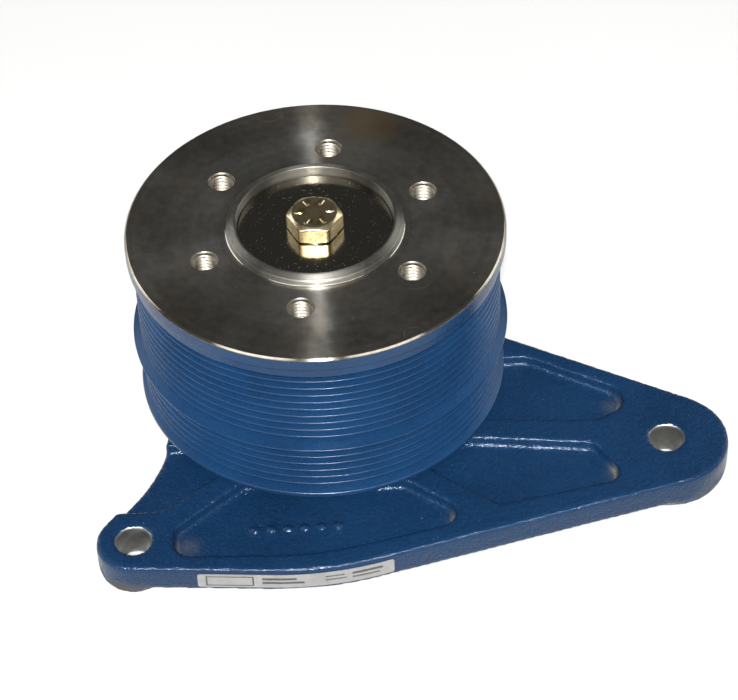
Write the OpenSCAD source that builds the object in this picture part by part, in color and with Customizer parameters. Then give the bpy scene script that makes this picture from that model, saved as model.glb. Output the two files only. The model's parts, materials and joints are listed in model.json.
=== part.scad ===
// Belt-driven fan hub: a grooved pulley that turns on two ball bearings round a
// fixed spindle, and the cast bracket that carries the spindle.
// +Z points along the spindle towards the fan. The origin is on the spindle axis,
// in the plane of the mounting pads.

/* [Fan flange] */
// Height of the fan mounting face above the mounting pads
face_z = 90; // [86:1:96]
// Radius of the fan flange
flange_r = 71.4; // [68:0.1:74]
// Thickness of the fan flange
flange_t = 5.6; // [4:0.2:6]
// Number of tapped fan bolt holes
fan_holes = 6; // [4:1:8]
// Pitch circle diameter of the fan bolt holes
fan_pcd = 88.9; // [84:0.1:94]
// Thread diameter of the fan bolt holes
fan_thread_d = 9.525; // [8:0.005:10]
// Depth of the fan bolt holes
fan_hole_depth = 20; // [12:1:21]
// Angle of the first fan bolt hole
fan_hole_turn = 21; // [0:1:59]
// Radius of the raised pilot ring that centres the fan
pilot_r = 33.2; // [32:0.1:35]
// Height of the pilot ring above the face
pilot_h = 3.3; // [2:0.1:5]

/* [Pulley] */
// Distance between belt grooves
groove_pitch = 3.56; // [3.4:0.01:3.6]
// Included angle of a groove
groove_angle = 40; // [38:1:42]
// Depth of a groove
groove_depth = 2.9; // [2.4:0.1:3]
// Flat width at the bottom of a groove
groove_floor = 0.8; // [0.6:0.1:0.9]
// Radius over the ribs between the grooves
rib_r = 69.2; // [68.5:0.1:69.5]
// Grooves in the upper belt track
upper_grooves = 10; // [4:1:10]
// Grooves in the lower belt track
lower_grooves = 6; // [3:1:6]
// Radius of the flange between the two belt tracks
mid_flange_r = 72; // [70.5:0.1:73]
// Radius of the flange below the lower belt track
low_flange_r = 70.8; // [70:0.1:72]

/* [Bearings] */
// Bore of each ball bearing
bearing_d = 30; // [30:1:30]
// Outside diameter of each ball bearing
bearing_od = 62; // [62:1:62]
// Width of each ball bearing
bearing_w = 16; // [15:1:17]
// Ball diameter
ball_d = 9.525; // [9:0.005:9.6]
// Balls in each bearing
balls = 9; // [7:1:9]

/* [Bracket] */
// Height of the bracket's upper face
bracket_z = 14.5; // [12:0.5:14.5]
// Height of the mounting pads below the rest of the underside
pad_h = 3; // [1:0.5:4]
// Depth of the pockets in the upper face
pocket_depth = 4; // [2:0.5:5]
// Diameter of the mounting bolt holes
lug_hole_d = 13; // [10:0.5:14]

/* [Hidden] */
$fn = 96;
eps = 0.01;

// Fan flange and recess
flange_chamfer = 0.8;
pilot_wall_h = 2.1;
pilot_top_w = 3.2;
recess_r = 29.5;
plate_gap = 0.5;
plate_t = 4;
plate_z = face_z - 0.9 - plate_t;

// Belt tracks, measured down from the fan face
upper_first = face_z - 11.8;
lower_first = face_z - 51.25;
land_r = 70.2;
pulley_bottom = face_z - 73.2;
mid_crest_w = 0.6;
groove_half = groove_floor / 2 + groove_depth * tan(groove_angle / 2);
floor_r = rib_r - groove_depth;

// Hub inside
barrel_r = 40;
rim_inner_r = 60;
cavity_top = face_z - 24;
shoulder_r = 27.5;
bearing_bore_r = bearing_od / 2;
front_z = 64;
rear_z = 28;
shoulder_z = front_z + bearing_w;
ring_t = 2;
ring_groove_r = 32.5;
ring_z = rear_z - ring_t - 0.05;

// Bearing inside
pitch_r = (bearing_d + bearing_od) / 4;
race_r = ball_d * 0.52;
inner_land_r = 18.8;
outer_land_r = 27.2;
shield_t = 0.8;
shield_inset = 0.4;
shield_gap = 0.3;
cage_half_w = 2.2;
cage_half_h = 5.9;
cage_clear = 0.08;

// Spindle
spindle_r = bearing_d / 2;
neck_r = 20;
trunk_r = 18;
spindle_top = shoulder_z - 0.6;
bolt_r = 6.35;
bolt_len = 36;
bolt_af = 19.05;
bolt_head_h = 7.9;
hex_corner_r = bolt_af / 2 / cos(30);
seal_z = 18;
seal_h = 7;
seal_gap = 0.05;
slinger_r = 29;
slinger_t = 1.6;
dowel_r = 3;
dowel_len = 12;

// Bracket outline and pockets: each entry is a circle's x, y and radius, and 1 where
// the edge turns left round it or -1 where it turns right
left_lug = [-74, -84, 14, 1];
right_lug = [129, -48, 23.5, 1];
rear_lug = [-20, 92, 14, 1];
front_sweep = [-12, 15, 118.5, 1];
outline = [
    right_lug, [38, 78.2, 40, -1], rear_lug, [0, 0, 57.5, 1],
    [-130, -19, 70, -1], left_lug, front_sweep
];
right_upper_pocket = [
    [102.5, -30, 6, 1], [107, -25.5, 7.7, 1], [77, -11, 10.8, 1],
    [66, -9, 8.8, 1], [64, -24.5, 8, 1]
];
right_lower_pocket = [
    [102.8, -63, 6, 1], [98.5, -52.7, 4.5, 1], [50, -49.5, 8, 1],
    [46, -52.9, 8, 1], [64, -69.5, 6.5, 1]
];
front_pocket = [
    [39.5, -79, 6.5, 1], [26, -68.4, 6.4, 1], [0, 0, 62, -1], [-30, -64, 6.4, 1],
    [-54.5, -82, 4.5, 1], [-52.5, -86.5, 6.5, 1], [-14, 15, 110, 1]
];
left_pocket = [
    [-67, -55.5, 14, 1], [-44, -47.1, 6, 1], [-50, -44, 7, 1],
    [-100, -44, 7, 1], [-100, -62, 7, 1]
];
rear_pocket = [[-9, 60, 6, 1], [-14, 71, 5, 1], [-27, 72, 5, 1], [-36, 52, 6, 1]];
pockets = [right_upper_pocket, right_lower_pocket, front_pocket, left_pocket, rear_pocket];
pad_margin = 0.5;
boss_r = 30;
label_z = 5.5;
label_h = 6.7;
label_t = 0.4;
label_end = 286.5;
label_straight = 27.5;
pip_r = 1.3;
pip_h = 0.8;
pip_root = 0.5;
pip_count = 6;
pip_pitch = 6.2;
pip_start = [-29, -79.5];

// Angle of the left-hand normal of the tangent that leaves circle a for circle b
function leave_angle(a, b) =
    let (d = [b[0] - a[0], b[1] - a[1]])
    atan2(d[1], d[0]) + acos((b[3] * b[2] - a[3] * a[2]) / norm(d));

// Remainder that is never negative
function turn_mod(x) = x - 360 * floor(x / 360);

// Points of the arc round circle c, entered at normal angle a0 and left at a1
function arc_points(c, a0, a1) =
    let (
        sweep = c[3] > 0 ? turn_mod(a1 - a0) : -turn_mod(a0 - a1),
        n = max(2, ceil(abs(sweep) * sqrt(c[2]) / 30))
    )
    [for (i = [0:n]) let (a = a0 + sweep * i / n)
        [c[0] - c[3] * c[2] * cos(a), c[1] - c[3] * c[2] * sin(a)]];

// Closed outline that runs round the circles in order, along their shared tangents
function tangent_outline(cs) =
    let (n = len(cs))
    [for (i = [0:n - 1])
        let (a0 = leave_angle(cs[(i + n - 1) % n], cs[i]), a1 = leave_angle(cs[i], cs[(i + 1) % n]))
        each arc_points(cs[i], a0, a1)];

module ring(r_out, r_in, z0, z1) {
    translate([0, 0, z0])
        difference() {
            cylinder(r = r_out, h = z1 - z0);
            translate([0, 0, -1]) cylinder(r = r_in, h = z1 - z0 + 2);
        }
}

module lug_pad(lug) {
    translate([lug[0], lug[1], 0]) cylinder(r = lug[2] - pad_margin, h = pad_h + 1);
}

module bracket() {
    color([0.10, 0.24, 0.42]) {
        difference() {
            union() {
                translate([0, 0, pad_h])
                    linear_extrude(bracket_z - pad_h) polygon(tangent_outline(outline));
                for (lug = [left_lug, right_lug, rear_lug]) lug_pad(lug);
                cylinder(r = boss_r, h = pad_h + 1);
            }
            for (p = pockets)
                translate([0, 0, bracket_z - pocket_depth])
                    linear_extrude(pocket_depth + 1) polygon(tangent_outline(p));
            for (lug = [left_lug, right_lug, rear_lug])
                translate([lug[0], lug[1], -1]) cylinder(r = lug_hole_d / 2, h = bracket_z + 2);
            translate([0, 0, -1]) cylinder(r = trunk_r, h = bracket_z + 2);
            translate([trunk_r, 0, -1]) cylinder(r = dowel_r, h = dowel_len + 1);
        }
        for (i = [0:pip_count - 1])
            translate([pip_start[0] + i * pip_pitch, pip_start[1], bracket_z - pocket_depth - pip_root])
                cylinder(r = pip_r, h = pip_h + pip_root);
    }
}

module spindle() {
    color([0.45, 0.45, 0.44])
        difference() {
            union() {
                cylinder(r = trunk_r, h = bracket_z + eps);
                translate([0, 0, bracket_z]) cylinder(r = neck_r, h = rear_z - bracket_z);
                translate([0, 0, rear_z - eps]) cylinder(r = spindle_r, h = spindle_top - rear_z + eps);
            }
            translate([0, 0, plate_z + plate_t - bolt_len - 3]) cylinder(r = bolt_r, h = bolt_len + 3);
            translate([trunk_r, 0, -1]) cylinder(r = dowel_r, h = dowel_len + 1);
        }
}

module spindle_dowel() {
    color([0.6, 0.6, 0.58])
        translate([trunk_r, 0, 0.5]) cylinder(r = dowel_r, h = dowel_len - 0.5);
}

module grease_slinger() {
    color([0.5, 0.5, 0.5]) ring(slinger_r, neck_r, bracket_z, bracket_z + slinger_t);
}

module blank_label() {
    touch = leave_angle(left_lug, front_sweep) + 180;
    color([0.8, 0.8, 0.78])
        translate([front_sweep[0], front_sweep[1], label_z])
            rotate([0, 0, touch]) {
                rotate_extrude(angle = label_end - touch)
                    translate([front_sweep[2], 0]) square([label_t, label_h]);
                translate([front_sweep[2], -label_straight, 0]) cube([label_t, label_straight + eps, label_h]);
            }
}

module end_plate() {
    color([0.18, 0.17, 0.15])
        difference() {
            union() {
                translate([0, 0, plate_z]) cylinder(r = recess_r - plate_gap, h = plate_t);
                translate([0, 0, shoulder_z]) cylinder(r = inner_land_r - 0.3, h = plate_z - shoulder_z + eps);
            }
            translate([0, 0, shoulder_z - 1]) cylinder(r = bolt_r + 0.25, h = plate_t + 10);
        }
}

module end_bolt() {
    color([0.55, 0.45, 0.22]) {
        translate([0, 0, plate_z + plate_t])
            intersection() {
                cylinder(r = hex_corner_r, h = bolt_head_h, $fn = 6);
                rotate_extrude()
                    polygon([
                        [0, 0], [hex_corner_r, 0], [hex_corner_r, bolt_head_h - 1],
                        [hex_corner_r - 1.9, bolt_head_h], [0, bolt_head_h]
                    ]);
            }
        translate([0, 0, plate_z + plate_t - bolt_len]) cylinder(r = bolt_r, h = bolt_len + eps);
    }
}

module bearing_spacer() {
    color([0.5, 0.5, 0.5]) ring(inner_land_r - 0.3, spindle_r, rear_z + bearing_w, front_z);
}

// One V groove as a cross-section, centred on the given height
module groove_section(z) {
    flank = groove_depth + 4;
    spread = flank * tan(groove_angle / 2);
    polygon([
        [floor_r, z - groove_floor / 2], [floor_r, z + groove_floor / 2],
        [floor_r + flank, z + groove_floor / 2 + spread],
        [floor_r + flank, z - groove_floor / 2 - spread]
    ]);
}

// Cross-section of the pulley hub, before the belt grooves are cut
module hub_blank_section() {
    upper_end = upper_first - (upper_grooves - 1) * groove_pitch - groove_half;
    lower_start = lower_first + groove_half;
    lower_end = lower_first - (lower_grooves - 1) * groove_pitch;
    mid_rise = (mid_flange_r - rib_r) * tan(groove_angle / 2);
    polygon([
        [recess_r, face_z + pilot_h], [pilot_r - pilot_top_w * 0.9, face_z + pilot_h],
        [pilot_r, face_z + pilot_wall_h], [pilot_r, face_z],
        [flange_r - flange_chamfer, face_z], [flange_r, face_z - flange_chamfer],
        [flange_r, face_z - flange_t], [land_r, face_z - flange_t],
        [land_r, upper_first + groove_half], [rib_r, upper_first],
        [rib_r, upper_end], [mid_flange_r, upper_end - mid_rise],
        [mid_flange_r, upper_end - mid_rise - mid_crest_w], [rib_r, lower_start],
        [rib_r, lower_end], [low_flange_r, lower_end],
        [low_flange_r, pulley_bottom], [rim_inner_r, pulley_bottom],
        [rim_inner_r, cavity_top], [barrel_r, cavity_top],
        [barrel_r, pulley_bottom], [bearing_bore_r, pulley_bottom],
        [bearing_bore_r, ring_z - 0.05], [ring_groove_r, ring_z - 0.05],
        [ring_groove_r, ring_z + ring_t + 0.05], [bearing_bore_r, ring_z + ring_t + 0.05],
        [bearing_bore_r, shoulder_z], [shoulder_r, shoulder_z],
        [shoulder_r, plate_z - plate_gap], [recess_r, plate_z - plate_gap]
    ]);
}

module pulley_hub() {
    color([0.12, 0.30, 0.50])
        difference() {
            rotate_extrude($fn = 180)
                difference() {
                    hub_blank_section();
                    for (i = [0:upper_grooves - 1]) groove_section(upper_first - i * groove_pitch);
                    for (i = [0:lower_grooves - 1]) groove_section(lower_first - i * groove_pitch);
                }
            for (i = [0:fan_holes - 1])
                rotate([0, 0, fan_hole_turn + i * 360 / fan_holes])
                    translate([fan_pcd / 2, 0, face_z - fan_hole_depth])
                        cylinder(d = fan_thread_d, h = fan_hole_depth + 1, $fn = 48);
        }
}

module rear_seal() {
    color([0.12, 0.12, 0.12])
        rotate_extrude()
            polygon([
                [bearing_bore_r, seal_z], [bearing_bore_r, seal_z + seal_h],
                [bearing_bore_r - 2, seal_z + seal_h], [bearing_bore_r - 2, seal_z + 2],
                [neck_r + 4, seal_z + 2], [neck_r + 2.5, seal_z + 5.5], [neck_r + 1, seal_z + 5],
                [neck_r + seal_gap, seal_z + 3.5], [neck_r + 1.5, seal_z]
            ]);
}

module retaining_ring() {
    color([0.35, 0.35, 0.35])
        difference() {
            ring(ring_groove_r - 0.1, bearing_bore_r - 3, ring_z, ring_z + ring_t);
            translate([0, -bearing_bore_r, ring_z + ring_t / 2]) cube([9, 12, ring_t + 1], center = true);
        }
}

module inner_ring(z) {
    color([0.55, 0.55, 0.54])
        translate([0, 0, z])
            rotate_extrude()
                difference() {
                    translate([spindle_r, 0]) square([inner_land_r - spindle_r, bearing_w]);
                    translate([pitch_r, bearing_w / 2]) circle(r = race_r);
                }
}

module outer_ring(z) {
    color([0.55, 0.55, 0.54])
        translate([0, 0, z])
            rotate_extrude()
                difference() {
                    translate([outer_land_r, 0]) square([bearing_bore_r - outer_land_r, bearing_w]);
                    translate([pitch_r, bearing_w / 2]) circle(r = race_r);
                }
}

module ball_set(z, r) {
    for (i = [0:balls - 1])
        rotate([0, 0, i * 360 / balls])
            translate([pitch_r, 0, z + bearing_w / 2]) sphere(r = r);
}

module cage(z) {
    color([0.45, 0.35, 0.18])
        difference() {
            ring(pitch_r + cage_half_w, pitch_r - cage_half_w, z + bearing_w / 2 - cage_half_h,
                z + bearing_w / 2 + cage_half_h);
            ball_set(z, ball_d / 2 + cage_clear);
        }
}

module shield(z) {
    color([0.10, 0.10, 0.10]) ring(outer_land_r, inner_land_r + shield_gap, z, z + shield_t);
}

module front_inner_ring() { inner_ring(front_z); }
module front_outer_ring() { outer_ring(front_z); }
module front_cage() { cage(front_z); }
module front_balls() { color([0.7, 0.7, 0.7]) ball_set(front_z, ball_d / 2); }
module front_shield_upper() { shield(front_z + bearing_w - shield_inset - shield_t); }
module front_shield_lower() { shield(front_z + shield_inset); }
module rear_inner_ring() { inner_ring(rear_z); }
module rear_outer_ring() { outer_ring(rear_z); }
module rear_cage() { cage(rear_z); }
module rear_balls() { color([0.7, 0.7, 0.7]) ball_set(rear_z, ball_d / 2); }
module rear_shield_upper() { shield(rear_z + bearing_w - shield_inset - shield_t); }
module rear_shield_lower() { shield(rear_z + shield_inset); }

bracket();
spindle();
spindle_dowel();
grease_slinger();
blank_label();
end_plate();
end_bolt();
bearing_spacer();
pulley_hub();
rear_seal();
retaining_ring();
front_inner_ring();
front_outer_ring();
front_cage();
front_balls();
front_shield_upper();
front_shield_lower();
rear_inner_ring();
rear_outer_ring();
rear_cage();
rear_balls();
rear_shield_upper();
rear_shield_lower();
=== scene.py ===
import json
import math

import bmesh
import bpy
import numpy as np
from mathutils import Matrix, Vector
from mathutils.geometry import delaunay_2d_cdt


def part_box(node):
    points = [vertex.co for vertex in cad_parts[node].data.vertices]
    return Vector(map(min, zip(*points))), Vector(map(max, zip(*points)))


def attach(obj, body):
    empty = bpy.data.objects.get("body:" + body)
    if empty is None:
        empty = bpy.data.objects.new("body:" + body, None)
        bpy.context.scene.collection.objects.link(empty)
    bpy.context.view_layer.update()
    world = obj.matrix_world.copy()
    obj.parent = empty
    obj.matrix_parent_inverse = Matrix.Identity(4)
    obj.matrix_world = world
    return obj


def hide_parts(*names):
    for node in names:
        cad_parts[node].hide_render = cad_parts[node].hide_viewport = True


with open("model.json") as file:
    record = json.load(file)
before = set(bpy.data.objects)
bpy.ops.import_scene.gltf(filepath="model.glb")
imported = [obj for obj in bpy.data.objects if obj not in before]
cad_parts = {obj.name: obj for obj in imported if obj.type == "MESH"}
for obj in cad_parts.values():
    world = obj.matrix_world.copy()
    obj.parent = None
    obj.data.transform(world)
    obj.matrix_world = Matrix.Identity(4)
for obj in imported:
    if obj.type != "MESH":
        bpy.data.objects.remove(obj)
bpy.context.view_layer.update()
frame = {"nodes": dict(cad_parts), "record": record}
mm = 0.001
nodes = frame["nodes"]
print("frame loaded:", len(nodes), "CAD nodes")

# Places are in mm and turns in degrees unless a note says otherwise

cameraSet = {
    "place": (0.0, -738.5, 753.3),
    "pan": 1.409,  # to the right of +Y
    "tilt": 44.672,  # downwards
    "roll": 2.421,
    "lens": 129.63,
    "nearest": 50,  # closest distance that is drawn
}


def makeCamera(values):
    pan, tilt, roll = (math.radians(values[key]) for key in ("pan", "tilt", "roll"))
    forward = Vector((math.sin(pan) * math.cos(tilt), math.cos(pan) * math.cos(tilt), -math.sin(tilt)))
    right = Vector((math.cos(pan), -math.sin(pan), 0))
    down = forward.cross(right)
    across = right * math.cos(roll) + down * math.sin(roll)
    below = down * math.cos(roll) - right * math.sin(roll)
    camera = bpy.data.objects.new("camera", bpy.data.cameras.new("camera"))
    camera.data.lens = values["lens"]
    camera.data.clip_start = values["nearest"] * mm
    camera.matrix_world = Matrix((across, -below, -forward)).transposed().to_4x4()
    camera.location = Vector(values["place"]) * mm
    bpy.context.scene.collection.objects.link(camera)
    bpy.context.scene.camera = camera


makeCamera(cameraSet)

# Small helpers that place shader nodes


def put(tree, kind, inputs=None, **settings):
    node = tree.nodes.new("ShaderNode" + kind)
    for key, value in settings.items():
        setattr(node, key, value)
    for key, value in (inputs or {}).items():
        socket = node.inputs[key]
        if isinstance(value, bpy.types.NodeSocket):
            tree.links.new(value, socket)
        elif socket.type == "RGBA":
            socket.default_value = (*value, 1)
        else:
            socket.default_value = value
    return node


def math1(tree, operation, a, b=0.0, clamp=False):
    return put(tree, "Math", {0: a, 1: b}, operation=operation, use_clamp=clamp).outputs[0]


def blendColor(tree, amount, a, b):
    return put(tree, "Mix", {0: amount, 6: a, 7: b}, data_type="RGBA").outputs[2]


def blendValue(tree, amount, a, b):
    return put(tree, "Mix", {0: amount, 2: a, 3: b}).outputs[0]


def rise(tree, value, low, high, start=0.0, end=1.0):
    inputs = {"Value": value, "From Min": low, "From Max": high, "To Min": start, "To Max": end}
    return put(tree, "MapRange", inputs, interpolation_type="SMOOTHSTEP").outputs[0]


def newGroup(name, inputs, outputs):
    tree = bpy.data.node_groups.new(name, "ShaderNodeTree")
    for label, value in inputs.items():
        socket = tree.interface.new_socket(label, in_out="INPUT", socket_type="NodeSocketFloat")
        socket.default_value = value
    for label in outputs:
        tree.interface.new_socket(label, in_out="OUTPUT", socket_type="NodeSocketFloat")
    return tree, tree.nodes.new("NodeGroupInput").outputs, tree.nodes.new("NodeGroupOutput").inputs


def useGroup(tree, group, **inputs):
    node = tree.nodes.new("ShaderNodeGroup")
    node.node_tree = group
    for key, value in inputs.items():
        if isinstance(value, bpy.types.NodeSocket):
            tree.links.new(value, node.inputs[key])
        else:
            node.inputs[key].default_value = value
    return node.outputs


def newMaterial(name, **values):
    material = bpy.data.materials.new(name)
    material.use_nodes = True
    shader = material.node_tree.nodes["Principled BSDF"]
    for label, value in values.items():
        shader.inputs[label.replace("_", " ")].default_value = value
    return material, material.node_tree, shader


def finishShader(tree, shader, **sockets):
    for label, value in sockets.items():
        tree.links.new(value, shader.inputs[label.replace("_", " ")])


def bumpFrom(tree, height, depth):
    return put(tree, "Bump", {"Height": height, "Distance": depth * mm}).outputs[0]


lampSet = [
    # name, place, aimed at, side, watts
    ("keyLamp", (-24, -1580, 1680), (0, 0, 40), 150, 138.0),
    ("leftBox", (-1300, -1400, 2000), (0, 200, 0), 1700, 20.0),
    ("rightBox", (1200, -1500, 1900), (0, 200, 0), 1700, 16.0),
    ("backLeftBox", (-1600, 1000, 1000), (0, 0, 40), 1400, 12.0),
    ("backRightBox", (1600, 900, 1000), (0, 0, 40), 1400, 12.0),
]
worldSet = {
    "front": 0.13,  # glow of the studio on the camera's side
    "back": 0.075,  # and behind the object
    "blend": (0.3, -0.4),  # where along the view the one fades into the other
}


def makeLamps():
    for name, place, aim, side, watts in lampSet:
        lamp = bpy.data.lights.new(name, "AREA")
        lamp.shape = "DISK"
        lamp.size = side * mm
        lamp.energy = watts
        holder = bpy.data.objects.new(name, lamp)
        holder.location = Vector(place) * mm
        holder.rotation_mode = "QUATERNION"
        holder.rotation_quaternion = (Vector(aim) - Vector(place)).to_track_quat("-Z", "Y")
        bpy.context.scene.collection.objects.link(holder)
    world = bpy.data.worlds.new("studio")
    world.use_nodes = True
    tree = world.node_tree
    side = put(tree, "SeparateXYZ", {0: put(tree, "TexCoord").outputs["Generated"]}).outputs[1]
    glow = rise(tree, side, *worldSet["blend"], worldSet["back"], worldSet["front"])
    tree.nodes["Background"].inputs["Color"].default_value = (1, 1, 1, 1)
    tree.links.new(glow, tree.nodes["Background"].inputs["Strength"])
    bpy.context.scene.world = world
    bpy.context.scene.view_settings.view_transform = "Standard"


makeLamps()
print("camera and lamps placed")

# Effects that several finishes share


def makeCastSkin():
    # A sand-cast surface under paint: pebbles, slow ripples and a few pits
    tree, start, end = newGroup(
        "castSkin", {"Pebble": 900, "Ripple": 200, "Pits": 0.3}, ("Height", "Grain", "Patch")
    )
    place = put(tree, "TexCoord").outputs["Object"]
    pebble = put(tree, "TexNoise", {"Vector": place, "Scale": start["Pebble"], "Detail": 3.0}).outputs[0]
    ripple = put(tree, "TexNoise", {"Vector": place, "Scale": start["Ripple"], "Detail": 2.0}).outputs[0]
    patch = put(tree, "TexNoise", {"Vector": place, "Scale": 28.0, "Detail": 3.0}).outputs[0]
    cell = put(tree, "TexVoronoi", {"Vector": place, "Scale": 420.0}).outputs["Distance"]
    pit = math1(tree, "MULTIPLY", rise(tree, cell, 0.16, 0.05), start["Pits"])
    body = math1(tree, "ADD", math1(tree, "MULTIPLY", pebble, 0.55), math1(tree, "MULTIPLY", ripple, 0.22))
    tree.links.new(math1(tree, "SUBTRACT", body, pit), end["Height"])
    tree.links.new(rise(tree, pebble, 0.35, 0.65), end["Grain"])
    tree.links.new(rise(tree, patch, 0.35, 0.65), end["Patch"])
    return tree


def makeTurnedMarks():
    # Tool marks of a lathe round the spindle axis, on faces and on walls
    tree, start, end = newGroup("turnedMarks", {"Rings": 3000, "Wander": 0.2}, ("Height", "Shade"))
    place = put(tree, "TexCoord").outputs["Object"]
    flat = put(tree, "VectorMath", {0: place, 1: (1, 1, 0)}, operation="MULTIPLY").outputs[0]
    radius = put(tree, "VectorMath", {0: flat}, operation="LENGTH").outputs["Value"]
    height = put(tree, "SeparateXYZ", {0: place}).outputs[2]
    slow = put(tree, "TexNoise", {"Vector": place, "Scale": 35.0, "Detail": 1.0}).outputs[0]
    drift = math1(tree, "MULTIPLY", math1(tree, "MULTIPLY", slow, start["Wander"]), mm)
    along = math1(tree, "ADD", math1(tree, "ADD", radius, height), drift)
    turns = math1(tree, "MULTIPLY", along, start["Rings"])
    fine = put(tree, "TexNoise", {"W": turns, "Scale": 1.0, "Detail": 2.0}, noise_dimensions="1D").outputs[0]
    band = put(tree, "TexNoise", {"W": turns, "Scale": 0.12, "Detail": 2.0}, noise_dimensions="1D").outputs[0]
    tree.links.new(fine, end["Height"])
    both = math1(tree, "ADD", math1(tree, "MULTIPLY", fine, 0.4), math1(tree, "MULTIPLY", band, 0.6))
    tree.links.new(rise(tree, both, 0.36, 0.64), end["Shade"])
    return tree


def makeStain():
    # Uneven patches, such as oil, tarnish or dust
    tree, start, end = newGroup("stain", {"Size": 60, "Edge": 0.5, "Soft": 0.12, "Shift": 0}, ("Mask",))
    place = put(tree, "TexCoord").outputs["Object"]
    inputs = {"Vector": place, "W": start["Shift"], "Scale": start["Size"], "Detail": 5.0, "Roughness": 0.6}
    cloud = put(tree, "TexNoise", inputs, noise_dimensions="4D").outputs[0]
    low = math1(tree, "SUBTRACT", start["Edge"], start["Soft"])
    high = math1(tree, "ADD", start["Edge"], start["Soft"])
    tree.links.new(rise(tree, cloud, low, high), end["Mask"])
    return tree


def makeScratches():
    # Hair scratches that cross at two angles
    tree, start, end = newGroup("scratches", {"Fine": 900, "Amount": 0.5, "Turn": 0.4}, ("Mask",))
    place = put(tree, "TexCoord").outputs["Object"]
    best = None
    for extra, stretch in ((0.0, 0.035), (1.9, 0.05), (2.7, 0.02)):
        angle = math1(tree, "ADD", start["Turn"], extra)
        inputs = {"Vector": place, "Axis": (0.1, 0.05, 1.0), "Angle": angle}
        turned = put(tree, "VectorRotate", inputs).outputs[0]
        long = put(tree, "VectorMath", {0: turned, 1: (stretch, 1, 1)}, operation="MULTIPLY").outputs[0]
        lines = put(tree, "TexNoise", {"Vector": long, "Scale": start["Fine"], "Detail": 0.0}).outputs[0]
        hair = rise(tree, lines, 0.72, 0.80)
        best = hair if best is None else math1(tree, "MAXIMUM", best, hair)
    worn = put(tree, "TexNoise", {"Vector": place, "Scale": 45.0, "Detail": 2.0}).outputs[0]
    mask = math1(tree, "MULTIPLY", best, rise(tree, worn, 0.45, 0.62))
    tree.links.new(math1(tree, "MULTIPLY", mask, start["Amount"]), end["Mask"])
    return tree


def makeSpecks():
    # Separate small spots, such as dust, chips or bright nicks
    tree, start, end = newGroup("specks", {"Fine": 500, "Size": 0.18, "Share": 0.4}, ("Mask",))
    place = put(tree, "TexCoord").outputs["Object"]
    cell = put(tree, "TexVoronoi", {"Vector": place, "Scale": start["Fine"]})
    chosen = put(tree, "SeparateColor", {0: cell.outputs["Color"]}).outputs[0]
    inner = math1(tree, "MULTIPLY", start["Size"], 0.5)
    spot = rise(tree, cell.outputs["Distance"], start["Size"], inner)
    picked = math1(tree, "LESS_THAN", chosen, start["Share"])
    tree.links.new(math1(tree, "MULTIPLY", spot, picked), end["Mask"])
    return tree


castSkin = makeCastSkin()
turnedMarks = makeTurnedMarks()
stain = makeStain()
scratches = makeScratches()
specks = makeSpecks()
print("shared effects ready")

# Finishes

paintLook = {
    "dark": (0.0026, 0.0128, 0.036),
    "light": (0.0042, 0.0198, 0.054),
    "dust": (0.095, 0.090, 0.076),
    "rub": (0.050, 0.046, 0.040),
    "sheen": (0.72, 0.86, 1.0, 1),  # tint of what the paint mirrors
    "specular": 0.36,
}


def attributeValue(tree, name):
    return put(tree, "Attribute", attribute_name=name).outputs["Fac"]


def paintMaterial(name, pebble, ripple, pits, depth, gloss, lift=1.0):
    material, tree, shader = newMaterial(
        name, Specular_IOR_Level=paintLook["specular"], Specular_Tint=paintLook["sheen"]
    )
    skin = useGroup(tree, castSkin, Pebble=pebble, Ripple=ripple, Pits=pits)
    dark, light = (tuple(lift * part for part in paintLook[key]) for key in ("dark", "light"))
    shade = math1(tree, "MULTIPLY", math1(tree, "ADD", skin["Patch"], skin["Grain"]), 0.5)
    color = blendColor(tree, shade, dark, light)
    chip = useGroup(tree, specks, Fine=260.0, Size=0.09, Share=0.10)["Mask"]
    color = blendColor(tree, math1(tree, "MULTIPLY", chip, 0.35), color, paintLook["dust"])
    dusty = useGroup(tree, stain, Size=260.0, Edge=0.42, Soft=0.2, Shift=3.0)["Mask"]
    dust = math1(tree, "MULTIPLY", attributeValue(tree, "dust"), blendValue(tree, dusty, 0.35, 1.0), True)
    color = blendColor(tree, dust, color, paintLook["dust"])
    worn = useGroup(tree, stain, Size=120.0, Edge=0.5, Soft=0.12, Shift=8.0)["Mask"]
    rub = math1(tree, "MULTIPLY", attributeValue(tree, "rub"), worn, True)
    color = blendColor(tree, rub, color, paintLook["rub"])
    dull = math1(tree, "MAXIMUM", dust, rub)
    rough = math1(tree, "ADD", math1(tree, "MULTIPLY", skin["Grain"], 0.06), gloss)
    rough = blendValue(tree, dull, rough, 0.75)
    bump = bumpFrom(tree, skin["Height"], depth)
    finishShader(tree, shader, Base_Color=color, Roughness=rough, Normal=bump)
    return material


ironLook = {
    "dark": (0.29, 0.285, 0.255),
    "light": (0.72, 0.71, 0.655),
    "brown": (0.60, 0.43, 0.24),
    "bright": (0.90, 0.88, 0.82),
    "rough": 0.15,
    "rings": 2600.0,
}
faceMarks = [
    # x, y, radius of the mark, and how bright it is
    (57, -31, 0.5, 0.9),
    (46, 50, 0.45, 0.8),
    (11.5, -51, 0.5, 0.8),
    (53, 12, 0.4, 0.7),
    (-30, -31, 0.8, 0.5),
]
faceArcs = [
    # x, y, radius of a round scuff, and how bright it is
    (-15, 67, 5.0, 0.45),
    (33, -61, 3.6, 0.5),
    (35, -31, 6.8, 0.5),
    (-27, -27, 2.6, 0.45),
]


def spotDistance(tree, place, x, y):
    flat = put(tree, "VectorMath", {0: place, 1: (1, 1, 0)}, operation="MULTIPLY").outputs[0]
    inputs = {0: flat, 1: (x * mm, y * mm, 0)}
    return put(tree, "VectorMath", inputs, operation="DISTANCE").outputs["Value"]


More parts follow.
